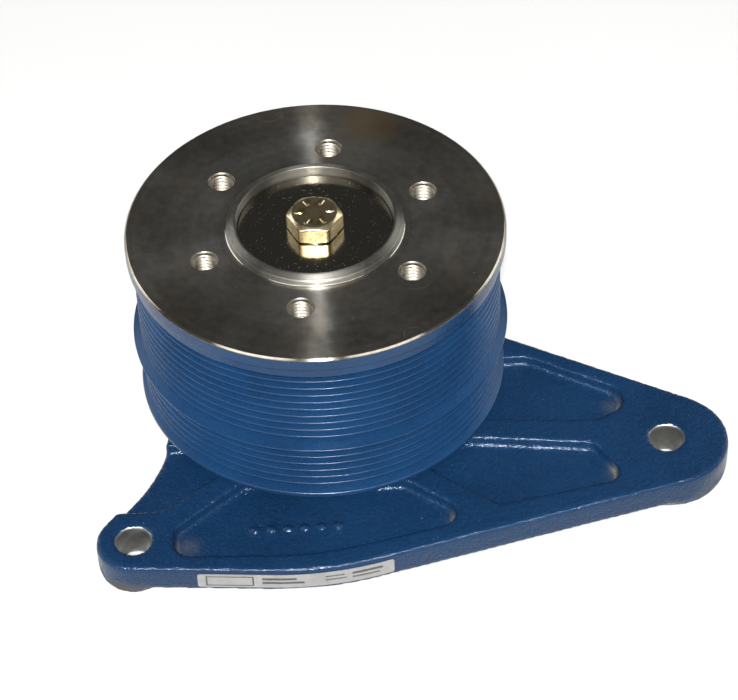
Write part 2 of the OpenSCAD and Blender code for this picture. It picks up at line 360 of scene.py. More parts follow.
def fanFaceMaterial():
    # Bare turned iron, light round the bolt circle and darker towards the rim
    material, tree, shader = newMaterial(
        "turnedIron", Metallic=1.0, Anisotropic=1.0, Anisotropic_Rotation=0.25
    )
    place = put(tree, "TexCoord").outputs["Object"]
    radius = spotDistance(tree, place, 0, 0)
    marks = useGroup(tree, turnedMarks, Rings=ironLook["rings"], Wander=0.35)
    cloud = useGroup(tree, stain, Size=34.0, Edge=0.5, Soft=0.16, Shift=1.0)["Mask"]
    fine = useGroup(tree, stain, Size=330.0, Edge=0.5, Soft=0.16, Shift=5.0)["Mask"]
    inner = rise(tree, radius, 0.030, 0.040)
    outer = rise(tree, radius, 0.062, 0.046)
    band = math1(tree, "MULTIPLY", inner, outer)
    tone = math1(tree, "ADD", math1(tree, "MULTIPLY", band, 0.34), math1(tree, "MULTIPLY", cloud, 0.28))
    tone = math1(tree, "ADD", tone, math1(tree, "MULTIPLY", fine, 0.26))
    tone = math1(tree, "ADD", tone, math1(tree, "MULTIPLY", marks["Shade"], 0.12), True)
    color = blendColor(tree, tone, ironLook["dark"], ironLook["light"])
    tint = useGroup(tree, stain, Size=70.0, Edge=0.52, Soft=0.14, Shift=12.0)["Mask"]
    patch = rise(tree, spotDistance(tree, place, 24, 57), 0.020, 0.004)
    rimTint = math1(tree, "MULTIPLY", rise(tree, radius, 0.0655, 0.0712), 0.22)
    brown = math1(tree, "MAXIMUM", math1(tree, "MULTIPLY", patch, 0.75), math1(tree, "MULTIPLY", tint, 0.25))
    brown = math1(tree, "MAXIMUM", brown, rimTint)
    color = blendColor(tree, brown, color, ironLook["brown"])
    bright = useGroup(tree, scratches, Fine=1900.0, Amount=0.12, Turn=0.7)["Mask"]
    for x, y, size, amount in faceMarks:
        spot = rise(tree, spotDistance(tree, place, x, y), size * mm, size * 0.4 * mm, 0.0, amount)
        bright = math1(tree, "MAXIMUM", bright, spot)
    for x, y, size, amount in faceArcs:
        away = math1(tree, "ABSOLUTE", math1(tree, "SUBTRACT", spotDistance(tree, place, x, y), size * mm))
        line = rise(tree, away, 0.00045, 0.0001, 0.0, amount)
        broken = useGroup(tree, stain, Size=240.0, Edge=0.5, Soft=0.08, Shift=x)["Mask"]
        bright = math1(tree, "MAXIMUM", bright, math1(tree, "MULTIPLY", line, broken))
    color = blendColor(tree, bright, color, ironLook["bright"])
    rough = math1(tree, "ADD", math1(tree, "MULTIPLY", cloud, 0.04), ironLook["rough"])
    rough = math1(tree, "ADD", rough, math1(tree, "MULTIPLY", brown, 0.05))
    height = math1(tree, "ADD", marks["Height"], math1(tree, "MULTIPLY", bright, -0.8))
    finishShader(
        tree, shader, Base_Color=color, Roughness=rough, Normal=bumpFrom(tree, height, 0.012),
        Tangent=put(tree, "Tangent", direction_type="RADIAL", axis="Z").outputs[0],
    )
    return material


def metalMaterial(
    name, dark, light, rough, rings=2600.0, depth=0.010, anisotropic=0.6, tarnish=0.2, coarse=0.12
):
    # Machined metal: fine tool marks, hair scratches and a little tarnish
    material, tree, shader = newMaterial(
        name, Metallic=1.0, Anisotropic=anisotropic, Anisotropic_Rotation=0.25
    )
    marks = useGroup(tree, turnedMarks, Rings=rings, Wander=0.2)
    cloud = useGroup(tree, stain, Size=90.0, Edge=0.5, Soft=0.2, Shift=len(name) * 1.0)["Mask"]
    hair = useGroup(tree, scratches, Fine=1300.0, Amount=0.4, Turn=1.1)["Mask"]
    tone = math1(
        tree, "ADD", math1(tree, "MULTIPLY", marks["Shade"], 0.4), math1(tree, "MULTIPLY", cloud, 0.6)
    )
    color = blendColor(tree, tone, dark, light)
    dull = math1(tree, "MULTIPLY", cloud, tarnish)
    color = blendColor(tree, dull, color, tuple(0.45 * part for part in dark))
    color = blendColor(tree, hair, color, tuple(min(1.0, 1.5 * part) for part in light))
    roughness = math1(tree, "ADD", math1(tree, "MULTIPLY", cloud, coarse), rough)
    bump = bumpFrom(tree, marks["Height"], depth)
    finishShader(tree, shader, Base_Color=color, Roughness=roughness, Normal=bump)
    if anisotropic:
        finishShader(tree, shader, Tangent=put(tree, "Tangent", direction_type="RADIAL", axis="Z").outputs[0])
    return material


def darkPlateMaterial():
    # Nearly mirror-bright dark steel with dust specks
    material, tree, shader = newMaterial(
        "darkPlate", Metallic=1.0, Anisotropic=0.6, Anisotropic_Rotation=0.25
    )
    marks = useGroup(tree, turnedMarks, Rings=5200.0, Wander=0.1)
    spot = useGroup(tree, specks, Fine=1300.0, Size=0.20, Share=0.28)["Mask"]
    haze = useGroup(tree, stain, Size=120.0, Edge=0.5, Soft=0.2, Shift=2.0)["Mask"]
    color = blendColor(tree, marks["Shade"], (0.255, 0.235, 0.19), (0.275, 0.255, 0.21))
    color = blendColor(tree, math1(tree, "MULTIPLY", spot, 0.8), color, (0.75, 0.7, 0.58))
    rough = math1(tree, "ADD", math1(tree, "MULTIPLY", haze, 0.06), 0.10)
    rough = blendValue(tree, spot, rough, 0.6)
    finishShader(
        tree, shader, Base_Color=color, Roughness=rough, Normal=bumpFrom(tree, marks["Height"], 0.0002),
        Tangent=put(tree, "Tangent", direction_type="RADIAL", axis="Z").outputs[0],
    )
    return material


def zincMaterial():
    # Dulled yellow zinc plate on a forged head
    material, tree, shader = newMaterial("yellowZinc", Metallic=1.0)
    skin = useGroup(tree, castSkin, Pebble=1400.0, Ripple=500.0, Pits=0.15)
    patch = useGroup(tree, stain, Size=200.0, Edge=0.48, Soft=0.2, Shift=6.0)["Mask"]
    color = blendColor(tree, patch, (0.40, 0.31, 0.15), (0.74, 0.63, 0.41))
    grime = useGroup(tree, stain, Size=420.0, Edge=0.6, Soft=0.1, Shift=9.0)["Mask"]
    color = blendColor(tree, math1(tree, "MULTIPLY", grime, 0.6), color, (0.10, 0.075, 0.04))
    rough = blendValue(tree, patch, 0.33, 0.25)
    finishShader(tree, shader, Base_Color=color, Roughness=rough, Normal=bumpFrom(tree, skin["Height"], 0.02))
    return material


def labelMaterial():
    # Satin foil label, blank apart from a printed frame and plain rules
    material, tree, shader = newMaterial("labelFoil", Metallic=0.25)
    wrinkle = put(tree, "TexNoise", {"Scale": 140.0, "Detail": 3.0}).outputs[0]
    grime = useGroup(tree, stain, Size=170.0, Edge=0.55, Soft=0.15, Shift=4.0)["Mask"]
    edge = attributeValue(tree, "frameLine")
    color = blendColor(tree, math1(tree, "MULTIPLY", grime, 0.35), (0.25, 0.245, 0.24), (0.155, 0.15, 0.14))
    color = blendColor(tree, edge, color, (0.018, 0.018, 0.020))
    rough = math1(tree, "ADD", math1(tree, "MULTIPLY", grime, 0.2), 0.32)
    finishShader(tree, shader, Base_Color=color, Roughness=rough, Normal=bumpFrom(tree, wrinkle, 0.12))
    return material


def rubberMaterial():
    # Moulded rubber with a matt, slightly dusty skin
    material, tree, shader = newMaterial("sealRubber")
    skin = useGroup(tree, castSkin, Pebble=2400.0, Ripple=700.0, Pits=0.0)
    dusty = useGroup(tree, stain, Size=150.0, Edge=0.55, Soft=0.2, Shift=7.0)["Mask"]
    color = blendColor(tree, math1(tree, "MULTIPLY", dusty, 0.4), (0.012, 0.012, 0.013), (0.06, 0.055, 0.05))
    rough = blendValue(tree, skin["Grain"], 0.52, 0.68)
    finishShader(tree, shader, Base_Color=color, Roughness=rough, Normal=bumpFrom(tree, skin["Height"], 0.04))
    return material


bluePaint = paintMaterial("bluePaint", 1000.0, 300.0, 0.20, 0.72, 0.17)
rimPaint = paintMaterial("rimPaint", 1300.0, 400.0, 0.10, 0.16, 0.20, 1.3)
turnedIron = fanFaceMaterial()
threadMetal = metalMaterial("threadMetal", (0.15, 0.13, 0.105), (0.30, 0.275, 0.23), 0.38, 6000.0, 0.006, 0.0)
recessSteel = metalMaterial(
    "recessSteel", (0.155, 0.147, 0.128), (0.28, 0.27, 0.242), 0.37, 2600.0, 0.008, 0.7
)
boredSteel = metalMaterial("boredSteel", (0.22, 0.22, 0.215), (0.40, 0.40, 0.39), 0.28)
machinedIron = metalMaterial("machinedIron", (0.26, 0.26, 0.25), (0.46, 0.46, 0.44), 0.38, 1800.0, 0.012, 0.0)
groundSteel = metalMaterial("groundSteel", (0.38, 0.38, 0.375), (0.55, 0.55, 0.54), 0.20, 5200.0, 0.004)
ballSteel = metalMaterial(
    "ballSteel", (0.55, 0.55, 0.55), (0.68, 0.68, 0.68), 0.06, 5200.0, 0.0005, 0.0, 0.05, 0.04
)
springSteel = metalMaterial("springSteel", (0.07, 0.07, 0.072), (0.16, 0.16, 0.165), 0.42, 1500.0, 0.010, 0.3)
cageBrass = metalMaterial("cageBrass", (0.36, 0.24, 0.075), (0.58, 0.42, 0.16), 0.30, 3200.0, 0.008)
darkPlate = darkPlateMaterial()
yellowZinc = zincMaterial()
labelFoil = labelMaterial()
sealRubber = rubberMaterial()
print("finishes ready")

# Mesh helpers


def addPiece(name, verts, faces, materials, faceSlots=None):
    mesh = bpy.data.meshes.new(name)
    mesh.from_pydata([tuple(v) for v in verts], [], faces)
    shape = bmesh.new()
    shape.from_mesh(mesh)
    bmesh.ops.remove_doubles(shape, verts=shape.verts[:], dist=0.0005 * mm)
    bmesh.ops.recalc_face_normals(shape, faces=shape.faces[:])
    shape.to_mesh(mesh)
    shape.free()
    return meshPiece(name, mesh, materials, faceSlots)


def meshPiece(name, mesh, materials, faceSlots=None):
    for material in materials:
        mesh.materials.append(material)
    if faceSlots:
        mesh.polygons.foreach_set("material_index", [faceSlots(face) for face in mesh.polygons])
    mesh.shade_smooth()
    piece = bpy.data.objects.new(name, mesh)
    bpy.context.scene.collection.objects.link(piece)
    return piece


def skinRows(rows, closed=False, skip=()):
    # Quads between rows of points that run round an axis; open ends get a middle point
    rows = np.asarray(rows, float)
    count, around = rows.shape[:2]
    verts = list(rows.reshape(-1, 3))
    faces = []
    for i in range(count if closed else count - 1):
        if i in skip:
            continue
        j = (i + 1) % count
        for k in range(around):
            n = (k + 1) % around
            faces.append((i * around + k, i * around + n, j * around + n, j * around + k))
    if not closed:
        for i in (0, count - 1):
            verts.append(rows[i].mean(0))
            for k in range(around):
                faces.append((i * around + k, i * around + (k + 1) % around, len(verts) - 1))
    return verts, faces


def sliceProfile(node, turn):
    # Where a half plane through the spindle axis cuts a turned CAD node, as a loop of (radius, height)
    cut = bmesh.new()
    cut.from_mesh(nodes[node].data)
    back = Matrix.Rotation(-math.radians(turn), 3, "Z")
    bmesh.ops.rotate(cut, verts=cut.verts[:], cent=(0, 0, 0), matrix=back)
    whole = cut.verts[:] + cut.edges[:] + cut.faces[:]
    made = bmesh.ops.bisect_plane(cut, geom=whole, dist=1e-8, plane_co=(0, 0, 0), plane_no=(0, 1, 0))
    links = {}
    for edge in made["geom_cut"]:
        if isinstance(edge, bmesh.types.BMEdge) and edge.verts[0].co.x + edge.verts[1].co.x > 0:
            a, b = ((round(v.co.x, 6), round(v.co.z, 6)) for v in edge.verts)
            if a != b:
                links.setdefault(a, set()).add(b)
                links.setdefault(b, set()).add(a)
    cut.free()
    loop = [max(links)]
    while True:
        near = [p for p in sorted(links[loop[-1]]) if p not in loop[-2:]]
        onward = [p for p in near if p not in loop or p == loop[0]]
        if not onward or onward[0] == loop[0]:
            break
        loop.append(onward[0])
    return dropStraight(np.array(loop))


def dropStraight(loop, slack=0.012 * mm):
    # Leaves out points that lie on the line between their neighbours
    kept = []
    count = len(loop)
    for i in range(count):
        a, b, c = kept[-1] if kept else loop[i - 1], loop[i], loop[(i + 1) % count]
        side = c - a
        off = abs(side[0] * (b - a)[1] - side[1] * (b - a)[0]) / max(np.hypot(*side), 1e-12)
        if off > slack:
            kept.append(b)
    return np.array(kept)


def roundCorners(loop, radiusOf, steps=4):
    points = []
    count = len(loop)
    for i in range(count):
        a, b, c = loop[i - 1], loop[i], loop[(i + 1) % count]
        u, v = a - b, c - b
        lu, lv = np.hypot(*u), np.hypot(*v)
        bend = math.pi - math.acos(np.clip(np.dot(u, v) / (lu * lv), -1, 1))
        if bend < math.radians(12):
            points.append(b)
            continue
        reach = min(radiusOf(*b) * math.tan(bend / 2), 0.42 * lu, 0.42 * lv)
        p, q = b + u / lu * reach, b + v / lv * reach
        for t in np.linspace(0, 1, steps + 1):
            points.append((1 - t) ** 2 * p + 2 * t * (1 - t) * b + t ** 2 * q)
    return np.array(points)


def latheRows(profile, around):
    angles = np.arange(around) * 2 * math.pi / around
    ring = np.stack([np.cos(angles), np.sin(angles)], 1)
    return [np.c_[ring * r, np.full(around, z)] for r, z in profile]


def threadWave(turns):
    # 0 at the root of a thread and 1 at its crest, with short flats
    wave = 1 - np.abs(2 * (turns - np.floor(turns)) - 1)
    return np.clip(1.25 * wave - 0.125, 0, 1)


# The pulley hub: one turned body with six tapped holes in its face

hubSet = {
    "around": 240,
    "sliceTurn": 51,  # between two bolt holes
    "edge": 0.80,  # rounding of the belt ribs and other painted edges
    "pilotEdge": 1.5,
    "faceEdge": 0.35,
    "recess": (30.2, 12.0),  # radius and depth of the recess wall below the fan face
    "bareEdge": 0.8,  # bare metal below the fan face
    "boredRadius": 33.5,
    "holeAround": 40,
    "threadPitch": 25.4 / 16,
    "threadDeep": 0.80,
    "rowsPerTurn": 6,
    "countersink": (5.25, 0.55),  # radius and depth
    "sinkEdge": (0.12, 0.1),  # how far the countersink's edge is broken, inwards and down
    "holeDeep": 20,
    "threadShort": 3,  # length at the bottom of the hole without a thread
    "drillTip": (0.6, 1.6),  # radius at the end of the drill point, and its length
    "sharpAngle": 50,
}


def mountCalled(name):
    return next(mount for mount in frame["record"]["mounts"] if mount["name"] == name)


def findHoles():
    # Angles, circle radius and hole radius of the fan bolt holes
    mount = mountCalled("fan_bolts")
    dims, place = mount["dims"], mount["pos_m"]
    count = int(dims["count"])
    circle = dims["pcd_mm"] / 2
    mesh = nodes["pulley_hub"].data
    for v in mesh.vertices:
        x, y = v.co.x / mm, v.co.y / mm
        if abs(v.co.z - place[2]) < 1e-6 and abs(math.hypot(x, y) - circle - dims["hole_r_mm"]) < 0.01:
            first = math.atan2(y, x)
            return [first + i * 2 * math.pi / count for i in range(count)], circle, dims["hole_r_mm"]


def holeRows(angle, circle, radius, top):
    # Countersink, thread and drill point of one tapped hole, from the face down
    around = hubSet["holeAround"]
    pitch, perTurn = hubSet["threadPitch"], hubSet["rowsPerTurn"]
    wide, sinkDeep = hubSet["countersink"]
    a = np.arange(around) * 2 * math.pi / around
    ring = np.stack([np.cos(a), np.sin(a)], 1)
    middle = np.array([math.cos(angle), math.sin(angle)]) * circle
    edgeIn, edgeDown = hubSet["sinkEdge"]
    rows = [(wide, 0), (wide - edgeIn, -edgeDown), (radius + 0.05, -sinkDeep)]
    made = [np.c_[ring * r + middle, np.full(around, top + z)] for r, z in rows]
    threadEnd = hubSet["holeDeep"] - hubSet["threadShort"]
    for step in range(1, int((threadEnd - sinkDeep) / pitch * perTurn)):
        z = -sinkDeep - step * pitch / perTurn
        start = min(1, step / perTurn)
        depth = hubSet["threadDeep"] * start * threadWave(z / pitch - a / (2 * math.pi))
        made.append(np.c_[ring * (radius - depth)[:, None] + middle, np.full(around, top + z)])
    core = radius - hubSet["threadDeep"]
    tipRadius, tipLong = hubSet["drillTip"]
    bottom = -hubSet["holeDeep"]
    for r, z in ((core, -threadEnd), (core, bottom), (tipRadius, bottom - tipLong)):
        made.append(np.c_[ring * r + middle, np.full(around, top + z)])
    return np.array(made) * mm


def faceFill(inner, outer, holes, top, keepOut):
    # Triangles of the flat fan face between two rings, round the holes
    loops = [inner, outer] + holes
    points, edges = [], []
    for loop in loops:
        first = len(points)
        points += [Vector((p[0] / mm, p[1] / mm)) for p in loop]
        edges += [(first + k, first + (k + 1) % len(loop)) for k in range(len(loop))]
    made = delaunay_2d_cdt(points, edges, [], 0, 1e-6)
    flat, faces = made[0], made[2]
    low, high = (np.hypot(*(loop[0][:2])) / mm for loop in (inner, outer))
    kept = []
    for face in faces:
        middle = sum((flat[i] for i in face), Vector((0, 0))) / len(face)
        inHole = any((middle - centre).length < reach for centre, reach in keepOut)
        if low * 0.9999 < middle.length < high and not inHole:
            kept.append(tuple(face))
    return [(p[0] * mm, p[1] * mm, top) for p in flat], kept


def buildHub():
    profile = sliceProfile("pulley_hub", hubSet["sliceTurn"])
    holeAngles, circle, holeRadius = findHoles()
    faceTop = mountCalled("fan_bolts")["pos_m"][2]
    pilotBase = min(r for r, z in profile if abs(z - faceTop) < 1e-5)

    def cornerRadius(r, z):
        if z > faceTop - 1e-5:
            return hubSet["pilotEdge" if r < pilotBase + 1e-5 else "faceEdge"] * mm
        return hubSet["edge"] * mm

    profile = roundCorners(profile, cornerRadius)
    onFace = [i for i in range(len(profile)) if abs(profile[i][1] - faceTop) < 1e-6]
    gaps = [(abs(profile[i][0] - profile[(i + 1) % len(profile)][0]), i) for i in onFace]
    skip = max(gaps)[1]
    rows = latheRows(profile, hubSet["around"])
    verts, faces = skinRows(rows, closed=True, skip=(skip,))
    inner, outer = sorted((rows[skip], rows[(skip + 1) % len(rows)]), key=lambda row: abs(row[0][0]))
    holes = [holeRows(angle, circle, holeRadius, faceTop / mm) for angle in holeAngles]
    centres = [Vector((math.cos(a), math.sin(a))) * circle for a in holeAngles]
    wide = hubSet["countersink"][0]
    mouths = [hole[0] for hole in holes]
    fillVerts, fillFaces = faceFill(inner, outer, mouths, faceTop, [(c, wide) for c in centres])
    faces += [tuple(i + len(verts) for i in face) for face in fillFaces]
    verts = verts + fillVerts
    for hole in holes:
        around = hole.shape[1]
        base = len(verts)
        holeVerts, holeFaces = skinRows(hole)
        # The first middle point would close the mouth of the hole, so its triangles go
        holeFaces = [face for face in holeFaces if len(hole) * around not in face]
        holeFaces = [tuple(i + base for i in face) for face in holeFaces]
        verts = verts + holeVerts
        faces += holeFaces

    def slotOf(face):
        # Order of the slots: paint, fan face, threads, bored inside, recess and pilot ring
        centre = face.center
        r = math.hypot(centre.x, centre.y)
        for c in centres:
            if math.hypot(centre.x / mm - c.x, centre.y / mm - c.y) < wide and centre.z < faceTop - 0.01 * mm:
                return 2
        wallRadius, wallDeep = hubSet["recess"]
        onLip = r < hubSet["boredRadius"] * mm and centre.z > faceTop + 0.05 * mm
        if onLip or (r < wallRadius * mm and centre.z > faceTop - wallDeep * mm):
            return 4
        if centre.z > faceTop - hubSet["bareEdge"] * mm:
            return 1
        return 3 if r < hubSet["boredRadius"] * mm else 0

    finishes = [rimPaint, turnedIron, threadMetal, boredSteel, recessSteel]
    piece = addPiece("pulleyBody", verts, faces, finishes, slotOf)
    piece.data.set_sharp_from_angle(angle=math.radians(hubSet["sharpAngle"]))
    weighted = piece.modifiers.new("cleanNormals", "WEIGHTED_NORMAL")
    weighted.keep_sharp = True
    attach(piece, "hub")
    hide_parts("pulley_hub")


buildHub()
print("pulley hub turned")

# The end bolt: hexagon head with a turned chamfer, six grade marks and a threaded shank

boltSet = {
    "around": 216,
    "acrossFlats": 19.05,
    "shankRadius": 6.35,
    "topFlat": 8.3,
    "washer": (9.3, 0.45),  # radius and height of the washer face
    "marks": 6,
    "turn": -4.5,  # of the head, from the CAD head
    "markWide": 0.42,
    "markHigh": 0.40,
    "markFrom": 4.3,
    "markTo": 7.5,
    "plain": 12,  # unthreaded length of the shank
    "pitch": 25.4 / 13,
    "threadDeep": 0.95,
    "cornerTrim": 0.2,  # how much the hexagon's corners are cut back
    "cornerSoft": 0.25,
    "edgeSoft": 0.12,
    "chamferSlope": 1.8,  # outwards for each unit down
    "markFade": 0.3,  # length over which a mark's end slopes
    "topRows": 24,
    "sideRows": 30,
    "sharpAngle": 60,
}


def buildBolt():
    low, high = (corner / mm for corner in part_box("end_bolt"))
    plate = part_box("end_plate")[1].z / mm
    a = np.arange(boltSet["around"]) * 2 * math.pi / boltSet["around"]
    ring = np.stack([np.cos(a), np.sin(a)], 1)
    headTurn = math.radians(boltSet["turn"])
    flatTurn = np.mod(a - headTurn, math.pi / 3) - math.pi / 6
    hexagon = boltSet["acrossFlats"] / 2 / np.cos(flatTurn)
    cornerRadius = boltSet["acrossFlats"] / 2 / math.cos(math.pi / 6)
    soft = boltSet["cornerSoft"]
    hexagon = -soft * np.log(np.exp(-hexagon / soft) + np.exp(-(cornerRadius - boltSet["cornerTrim"]) / soft))
    shankRadius = boltSet["shankRadius"]
    top = high.z
    rows = []

    def addRow(radius, z):
        rows.append(np.c_[ring * np.broadcast_to(radius, a.shape)[:, None], np.broadcast_to(z, a.shape)])

    # Top of the head, from the middle outwards
    perMark = 2 * math.pi / boltSet["marks"]
    markTurn = np.mod(a + perMark / 2, perMark) - perMark / 2
    fade = boltSet["markFade"]
    for r in np.linspace(0.6, boltSet["topFlat"] - 0.3, boltSet["topRows"]):
        away = np.abs(r * np.sin(markTurn))
        along = np.clip((r - boltSet["markFrom"]) / fade, 0, 1)
        along = along * np.clip((boltSet["markTo"] - r) / fade, 0, 1)
        across = np.clip((boltSet["markWide"] + 0.15 - away) / 0.2, 0, 1)
        addRow(r, top - boltSet["markHigh"] + boltSet["markHigh"] * across * along)
    faceTop = top - boltSet["markHigh"]
    addRow(boltSet["topFlat"], faceTop - 0.03)
    washerRadius, washerHigh = boltSet["washer"]
    edge = boltSet["edgeSoft"]
    for z in np.linspace(faceTop - 0.12, plate + washerHigh + 0.15, boltSet["sideRows"]):
        cone = boltSet["topFlat"] + (faceTop - z) * boltSet["chamferSlope"]
        addRow(-edge * np.log(np.exp(-hexagon / edge) + np.exp(-np.minimum(cone, 40) / edge)), z)
    addRow(hexagon - 0.15, plate + washerHigh + 0.02)
    neck = 0.6  # fillet between head and shank
    addRow(washerRadius, plate + washerHigh)
    addRow(washerRadius, plate)
    addRow(shankRadius + neck, plate)
    addRow(shankRadius, plate - neck)
    threadTop = plate - boltSet["plain"]
    addRow(shankRadius, threadTop)
    pitch = boltSet["pitch"]
    for z in np.arange(threadTop - pitch / 6, low.z + 1.2, -pitch / 6):
        start = min(1, (threadTop - z) / pitch)
        depth = boltSet["threadDeep"] * start * (1 - threadWave(z / pitch - a / (2 * math.pi)))
        addRow(shankRadius - depth, z)
    addRow(shankRadius - boltSet["threadDeep"], low.z + 0.8)
    addRow(shankRadius - 1.6, low.z)
    verts, faces = skinRows(np.array(rows) * mm)
    piece = addPiece("endBolt", verts, faces, [yellowZinc])
    piece.data.set_sharp_from_angle(angle=math.radians(boltSet["sharpAngle"]))
    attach(piece, "bracket")
    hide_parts("end_bolt")


buildBolt()
print("end bolt made")

# The cast bracket: the CAD solid with soft cast edges, a sand texture and foundry pips

bracketSet = {
    "voxel": 0.9,
    "smoothing": 14,
    "waves": (18.0, 0.16),  # size and height of slow unevenness
    "grain": (2.0, 0.09),  # size and height of the sand texture
    "midLevel": 0.6,  # texture value that leaves the surface where it is
    "holeReach": 7.3,  # radius within which a lug hole's wall is bare
    "padReach": 0.6,  # height up to which the underside of a lug is bare
    "pips": 6,
    "pipStart": (-29, -79.5),
    "pipPitch": 6.2,
    "pipRadius": 1.9,
    "pipHigh": 1.1,
    "pipFloor": 10.5,  # height of the pocket floor they stand on
    "pipMargin": 0.8,
    "pipSearch": 2,  # how far below that floor the surface may lie
    "pipShape": 0.7,
    # x, y and size of a spot
    "dustSpots": [(111, -27, 5.5), (108, -62, 5.5), (-54, -86, 6.5), (46, -81, 5)],
    "rubLugs": [(129, -48, 27), (-74, -84, 17), (-20, 92, 17)],
    "dustSpread": 1.6,
    "dustSlope": (0.985, 0.05),  # upward lean at which dust starts to lie, and over what range
    "dustFlat": 0.25,  # share of the dust that lies on flat ground
    "dustDepth": (0.9, 1.5, 6),  # below the top: start, fade and end
    "rubHeight": (7.5, 3.5),  # height where the rub ends, and its fade
    "rubFade": 3,
}


def cloudTexture(name, size):
    texture = bpy.data.textures.new(name, "CLOUDS")
    texture.noise_scale = size * mm
    texture.noise_depth = 2
    return texture


def evaluatedMesh(piece):
    graph = bpy.context.evaluated_depsgraph_get()
    return bpy.data.meshes.new_from_object(piece.evaluated_get(graph))


def buildBracket():
    rough = bpy.data.objects.new("bracketBlank", nodes["bracket"].data.copy())
    bpy.context.scene.collection.objects.link(rough)
    remesh = rough.modifiers.new("remesh", "REMESH")
    remesh.mode = "VOXEL"
    remesh.voxel_size = bracketSet["voxel"] * mm
    smooth = rough.modifiers.new("smooth", "SMOOTH")
    smooth.factor = 0.5
    smooth.iterations = bracketSet["smoothing"]
    for key in ("waves", "grain"):
        size, high = bracketSet[key]
        displace = rough.modifiers.new(key, "DISPLACE")
        displace.texture = cloudTexture(key, size)
        displace.strength = high * mm
        displace.mid_level = bracketSet["midLevel"]
        displace.texture_coords = "LOCAL"
    mesh = evaluatedMesh(rough)
    bpy.data.objects.remove(rough)
    mesh.materials.clear()
    raisePips(mesh)
    lugs = [Vector(m["pos_m"]).to_2d() for m in frame["record"]["mounts"] if m["name"].endswith("lug_hole")]

    def slotOf(face):
        # Bare metal in the bolt holes and on the machined pads under the lugs
        inHole = min((face.center.to_2d() - lug).length for lug in lugs) < bracketSet["holeReach"] * mm
        onPad = face.normal.z < -0.8 and face.center.z < bracketSet["padReach"] * mm
        return 1 if onPad or (inHole and abs(face.normal.z) < 0.7) else 0

    piece = meshPiece("bracketCasting", mesh, [bluePaint, machinedIron], slotOf)
    co = np.zeros(len(mesh.vertices) * 3, np.float32)
    mesh.vertices.foreach_get("co", co)
    co = co.reshape(-1, 3) / mm
    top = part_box("bracket")[1].z / mm
    normals = np.zeros(len(mesh.vertices) * 3, np.float32)
    mesh.vertex_normals.foreach_get("vector", normals)
    lean = normals.reshape(-1, 3)[:, 2]
    leanStart, leanRange = bracketSet["dustSlope"]
    sloped = np.clip((leanStart - lean) / leanRange, 0, 1)
    flat = bracketSet["dustFlat"]
    fromTop, fade, toTop = bracketSet["dustDepth"]
    inPocket = np.clip((top - fromTop - co[:, 2]) / fade, 0, 1) * (co[:, 2] > top - toTop)
    dust = np.zeros(len(co))
    for x, y, size in bracketSet["dustSpots"]:
        spread = size / bracketSet["dustSpread"]
        near = np.exp(-((co[:, 0] - x) ** 2 + (co[:, 1] - y) ** 2) / spread ** 2)
        dust = np.maximum(dust, near * inPocket * (flat + (1 - flat) * sloped))
    rubTop, rubRange = bracketSet["rubHeight"]
    lowDown = np.clip((rubTop - co[:, 2]) / rubRange, 0, 1)
    rub = np.zeros(len(co))
    for x, y, size in bracketSet["rubLugs"]:
        near = np.clip((size - np.hypot(co[:, 0] - x, co[:, 1] - y)) / bracketSet["rubFade"], 0, 1)
        rub = np.maximum(rub, near * lowDown)
    setAttribute(mesh, "dust", dust)
    setAttribute(mesh, "rub", rub)
    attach(piece, "bracket")
    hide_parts("bracket")
    print("bracket faces:", len(mesh.polygons))


def setAttribute(mesh, name, values):
    made = mesh.attributes.new(name, "FLOAT", "POINT")
    made.data.foreach_set("value", np.asarray(values, np.float32))


def raisePips(mesh):
    # Six raised foundry pips on the floor of the front pocket
    startX, startY = bracketSet["pipStart"]
    reach = bracketSet["pipRadius"] + bracketSet["pipMargin"]
    floor = bracketSet["pipFloor"]
    lowest = (floor - bracketSet["pipSearch"]) * mm
    centres = [(startX + i * bracketSet["pipPitch"], startY) for i in range(bracketSet["pips"])]

    def nearest(point):
        return min(math.hypot(point.x / mm - x, point.y / mm - y) for x, y in centres)

    shape = bmesh.new()
    shape.from_mesh(mesh)
    chosen = [
        e for e in shape.edges
        if all(v.co.z > lowest and nearest(v.co) < reach for v in e.verts)
    ]
    bmesh.ops.subdivide_edges(shape, edges=chosen, cuts=2, use_grid_fill=True)
    for v in shape.verts:
        if v.co.z > lowest:
            away = nearest(v.co) / bracketSet["pipRadius"]
            if away < 1:
                lift = (1 - away ** 2) ** bracketSet["pipShape"]
                v.co.z = max(v.co.z, (floor + bracketSet["pipHigh"] * lift) * mm)
    shape.to_mesh(mesh)
    shape.free()


buildBracket()
print("bracket cast")

# The blank label: a thin foil wrapped round the front of the bracket

labelSet = {
    "step": 0.22,  # mesh size along and across
    "corner": 0.8,
    "thick": 0.36,
    "wrinkle": 0.05,
    "turnSpan": 6,  # points on each side over which the label's direction is evened out
    "ink": 0.5,  # width of a frame's line
    "inkSoft": 0.12,
    "ruleShade": 0.85,
    "drawnLength": 66.0,  # length of a label to which the places below belong
    "frames": [(3.0, 18.5, 1.0, 5.7)],  # from, to, bottom and top of a printed frame
    # from, to, height and width of a printed rule
    "rules": [
        (21.5, 33.0, 4.6, 1.1),
        (21.5, 35.5, 2.6, 1.1),
        (42.5, 49.0, 4.6, 0.6),
        (42.5, 49.5, 2.8, 0.6),
        (51.5, 62.0, 4.6, 1.3),
        (51.5, 61.0, 2.5, 0.8),
    ],
    "sharpAngle": 40,
}


